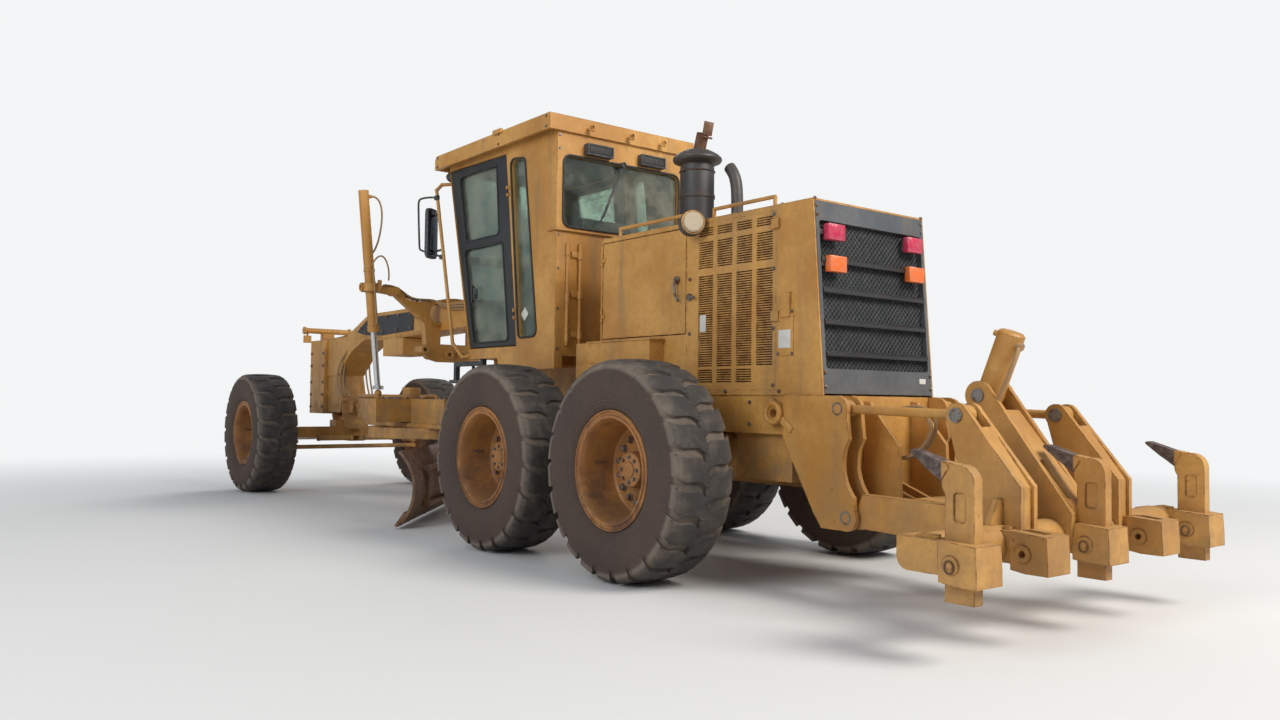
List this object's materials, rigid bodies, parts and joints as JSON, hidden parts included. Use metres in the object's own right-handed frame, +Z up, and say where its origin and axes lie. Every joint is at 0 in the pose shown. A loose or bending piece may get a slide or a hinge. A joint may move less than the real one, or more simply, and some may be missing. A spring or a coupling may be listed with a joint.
{
  "type": "motor grader",
  "caption": "Articulated motor grader with tandem rear drive, enclosed cab, long angled blade under the frame and a rear ripper with its teeth stowed.",
  "frame": {"origin": "centre of the bounding box on the ground, under the machine", "axes": "+X forward along the machine, +Y to its left, +Z up"},
  "size_m": [10.074, 2.525, 3.234],
  "materials": {
    "yellow_paint": "faded, dusty ochre yellow paint",
    "rim_paint": "worn orange-ochre paint with rust and dirt",
    "black_paint": "weathered black paint",
    "slate_paint": "slate grey paint, satin",
    "tyre_rubber": "dusty worn rubber",
    "rod_chrome": "polished chrome",
    "rusty_steel": "rusty brown blade steel",
    "engine_iron": "dark, dirty",
    "window_glass": "slightly green, dusty",
    "lamp_red": "faded red and amber lamp lenses",
    "cab_plastic": "matte black plastic and vinyl"
  },
  "bodies": {
    "rear_body": {"rear_frame": "yellow_paint", "tandem": "yellow_paint", "hood": "yellow_paint", "engine": "engine_iron", "grille_frame": "slate_paint", "grille_mesh": "black_paint", "tail_lamps": "lamp_red", "stack": "black_paint", "side_tanks": "yellow_paint", "louvre_panel_left": "yellow_paint", "louvre_panel_right": "yellow_paint"},
    "engine_door_left": {"engine_door_left": "yellow_paint"},
    "engine_door_right": {"engine_door_right": "yellow_paint"},
    "front_body": {"front_frame": "yellow_paint", "front_axle": "yellow_paint", "beam_panels": "black_paint", "lift_arms": "yellow_paint", "cab_shell": "yellow_paint", "cab_roof": "yellow_paint", "cab_glass": "window_glass", "cab_interior": "cab_plastic", "cab_trim": "black_paint"},
    "cab_door_left": {"cab_door_left": "black_paint", "door_glass_left": "window_glass"},
    "cab_door_right": {"cab_door_right": "black_paint", "door_glass_right": "window_glass"},
    "knuckle_left": {"knuckle_left": "yellow_paint"},
    "knuckle_right": {"knuckle_right": "yellow_paint"},
    "tie_rod": {"tie_rod": "yellow_paint"},
    "steer_barrel_left": {"steer_barrel_left": "yellow_paint"},
    "steer_barrel_right": {"steer_barrel_right": "yellow_paint"},
    "steer_rod_left": {"steer_rod_left": "rod_chrome"},
    "steer_rod_right": {"steer_rod_right": "rod_chrome"},
    "drawbar": {"drawbar": "yellow_paint"},
    "turn_circle": {"turn_circle": "yellow_paint"},
    "blade_carrier": {"blade_carrier": "rusty_steel"},
    "blade": {"blade": "rusty_steel"},
    "lift_barrel_left": {"lift_barrel_left": "yellow_paint"},
    "lift_barrel_right": {"lift_barrel_right": "yellow_paint"},
    "lift_rod_left": {"lift_rod_left": "rod_chrome"},
    "lift_rod_right": {"lift_rod_right": "rod_chrome"},
    "ripper_frame": {"ripper_frame": "yellow_paint"},
    "ripper_links": {"ripper_links": "yellow_paint"},
    "ripper_carriage": {"ripper_carriage": "yellow_paint", "shanks": "yellow_paint"},
    "ripper_barrel": {"ripper_barrel": "yellow_paint"},
    "ripper_rod": {"ripper_rod": "rod_chrome"},
    "wheel_rl": {"tyre_rl": "tyre_rubber", "rim_rl": "rim_paint"},
    "wheel_rr": {"tyre_rr": "tyre_rubber", "rim_rr": "rim_paint"},
    "wheel_ml": {"tyre_ml": "tyre_rubber", "rim_ml": "rim_paint"},
    "wheel_mr": {"tyre_mr": "tyre_rubber", "rim_mr": "rim_paint"},
    "wheel_fl": {"tyre_fl": "tyre_rubber", "rim_fl": "rim_paint"},
    "wheel_fr": {"tyre_fr": "tyre_rubber", "rim_fr": "rim_paint"}
  },
  "joints": [
    {"name": "articulation", "type": "hinge", "parent": "rear_body", "child": "front_body", "pos_m": [-1.2675, 0, 1], "axis": [0, 0, 1], "range_deg": [-20, 20]},
    {"name": "engine_door_left_hinge", "type": "hinge", "parent": "rear_body", "child": "engine_door_left", "pos_m": [-1.5795, 0.508, 1.85], "axis": [0, 0, -1], "range_deg": [0, 100]},
    {"name": "engine_door_right_hinge", "type": "hinge", "parent": "rear_body", "child": "engine_door_right", "pos_m": [-1.5795, -0.508, 1.85], "axis": [0, 0, 1], "range_deg": [0, 100]},
    {"name": "cab_door_left_hinge", "type": "hinge", "parent": "front_body", "child": "cab_door_left", "pos_m": [-0.5995, 0.628, 1.496], "axis": [0.1313, 0, 0.9913], "range_deg": [0, 80]},
    {"name": "cab_door_right_hinge", "type": "hinge", "parent": "front_body", "child": "cab_door_right", "pos_m": [-0.5995, -0.628, 1.496], "axis": [-0.1313, 0, -0.9913], "range_deg": [0, 80]},
    {"name": "wheel_rl_spin", "type": "hinge", "parent": "rear_body", "child": "wheel_rl", "pos_m": [-2.628, 1.01, 0.66], "axis": [0, 1, 0], "continuous": true},
    {"name": "wheel_rr_spin", "type": "hinge", "parent": "rear_body", "child": "wheel_rr", "pos_m": [-2.628, -1.01, 0.66], "axis": [0, 1, 0], "continuous": true},
    {"name": "wheel_ml_spin", "type": "hinge", "parent": "rear_body", "child": "wheel_ml", "pos_m": [-1.107, 1.01, 0.66], "axis": [0, 1, 0], "continuous": true},
    {"name": "wheel_mr_spin", "type": "hinge", "parent": "rear_body", "child": "wheel_mr", "pos_m": [-1.107, -1.01, 0.66], "axis": [0, 1, 0], "continuous": true},
    {"name": "steering", "type": "hinge", "parent": "front_body", "child": "knuckle_left", "pos_m": [4.2225, 0.742, 0.66], "axis": [0, 0, 1], "range_deg": [-45, 45]},
    {"name": "knuckle_right_turn", "type": "hinge", "parent": "front_body", "child": "knuckle_right", "pos_m": [4.2225, -0.742, 0.66], "axis": [0, 0, 1], "range_deg": [-45, 45]},
    {"name": "tie_rod_turn", "type": "hinge", "parent": "knuckle_left", "child": "tie_rod", "pos_m": [3.9925, 0.722, 0.49], "axis": [0, 0, 1], "range_deg": [-45, 45]},
    {"name": "steer_barrel_left_swing", "type": "hinge", "parent": "front_body", "child": "steer_barrel_left", "pos_m": [3.9925, 0.06, 0.597], "axis": [0, 0, 1], "range_deg": [-5, 5]},
    {"name": "steer_rod_left_slide", "type": "slide", "parent": "steer_barrel_left", "child": "steer_rod_left", "axis": [0, 1, 0], "range_m": [-0.17, 0.17]},
    {"name": "steer_barrel_right_swing", "type": "hinge", "parent": "front_body", "child": "steer_barrel_right", "pos_m": [3.9925, -0.06, 0.597], "axis": [0, 0, 1], "range_deg": [-5, 5]},
    {"name": "steer_rod_right_slide", "type": "slide", "parent": "steer_barrel_right", "child": "steer_rod_right", "axis": [0, -1, 0], "range_m": [-0.17, 0.17]},
    {"name": "wheel_fl_spin", "type": "hinge", "parent": "knuckle_left", "child": "wheel_fl", "pos_m": [4.2225, 1.04, 0.66], "axis": [0, 1, 0], "continuous": true},
    {"name": "wheel_fr_spin", "type": "hinge", "parent": "knuckle_right", "child": "wheel_fr", "pos_m": [4.2225, -1.04, 0.66], "axis": [0, 1, 0], "continuous": true},
    {"name": "blade_lift", "type": "hinge", "parent": "front_body", "child": "drawbar", "pos_m": [3.8925, 0, 0.955], "axis": [0, 1, 0], "range_deg": [-12, 12]},
    {"name": "circle_turn", "type": "hinge", "parent": "drawbar", "child": "turn_circle", "pos_m": [1.7125, 0, 0.74], "axis": [0, 0, 1], "continuous": true},
    {"name": "blade_tip", "type": "hinge", "parent": "turn_circle", "child": "blade_carrier", "pos_m": [1.58349, -0.15931, 0.17], "axis": [-0.7771, 0.6293, 0], "range_deg": [-5, 30]},
    {"name": "blade_shift", "type": "slide", "parent": "blade_carrier", "child": "blade", "axis": [-0.7771, 0.6293, 0], "range_m": [-0.5, 0.5]},
    {"name": "lift_barrel_left_swing", "type": "hinge", "parent": "front_body", "child": "lift_barrel_left", "pos_m": [1.6325, 0.875, 2.105], "axis": [0, 1, 0], "range_deg": [-3, 3]},
    {"name": "lift_rod_left_slide", "type": "slide", "parent": "lift_barrel_left", "child": "lift_rod_left", "axis": [0, -0.0992, -0.9951], "range_m": [-0.5, 0.5]},
    {"name": "lift_barrel_right_swing", "type": "hinge", "parent": "front_body", "child": "lift_barrel_right", "pos_m": [1.6325, -0.875, 2.105], "axis": [0, 1, 0], "range_deg": [-3, 3]},
    {"name": "lift_rod_right_slide", "type": "slide", "parent": "lift_barrel_right", "child": "lift_rod_right", "axis": [0, 0.0992, -0.9951], "range_m": [-0.5, 0.5]},
    {"name": "ripper_lift", "type": "hinge", "parent": "rear_body", "child": "ripper_frame", "pos_m": [-3.8275, 0, 0.46], "axis": [0, 1, 0], "range_deg": [-15, 30]},
    {"name": "ripper_links_swing", "type": "hinge", "parent": "rear_body", "child": "ripper_links", "pos_m": [-3.7675, 0, 1.04], "axis": [0, 1, 0], "range_deg": [-15, 30]},
    {"name": "ripper_carriage_turn", "type": "hinge", "parent": "ripper_frame", "child": "ripper_carriage", "pos_m": [-4.5675, 0, 0.44], "axis": [0, 1, 0], "range_deg": [-30, 15]},
    {"name": "ripper_barrel_swing", "type": "hinge", "parent": "ripper_carriage", "child": "ripper_barrel", "pos_m": [-4.3575, 0, 1.12], "axis": [0, 1, 0], "range_deg": [-6, 12]},
    {"name": "ripper_rod_slide", "type": "slide", "parent": "ripper_barrel", "child": "ripper_rod", "axis": [0.3738, 0, -0.9275], "range_m": [-0.2, 0.36]}
  ],
  "couplings": [
    {"joint": "knuckle_right_turn", "follows": "steering", "ratio": 1},
    {"joint": "tie_rod_turn", "follows": "steering", "ratio": -1},
    {"joint": "steer_barrel_left_swing", "follows": "steering", "ratio": -0.061},
    {"joint": "steer_barrel_right_swing", "follows": "steering", "ratio": -0.061},
    {"joint": "steer_rod_left_slide", "follows": "steering", "m_per_rad": -0.204},
    {"joint": "steer_rod_right_slide", "follows": "steering", "m_per_rad": 0.204},
    {"joint": "lift_barrel_left_swing", "follows": "blade_lift", "ratio": -0.14},
    {"joint": "lift_barrel_right_swing", "follows": "blade_lift", "ratio": -0.14},
    {"joint": "lift_rod_left_slide", "follows": "blade_lift", "m_per_rad": -2.26},
    {"joint": "lift_rod_right_slide", "follows": "blade_lift", "m_per_rad": -2.26},
    {"joint": "ripper_links_swing", "follows": "ripper_lift", "ratio": 1},
    {"joint": "ripper_carriage_turn", "follows": "ripper_lift", "ratio": -1},
    {"joint": "ripper_barrel_swing", "follows": "ripper_lift", "ratio": 0.38},
    {"joint": "ripper_rod_slide", "follows": "ripper_lift", "m_per_rad": 0.66}
  ]
}
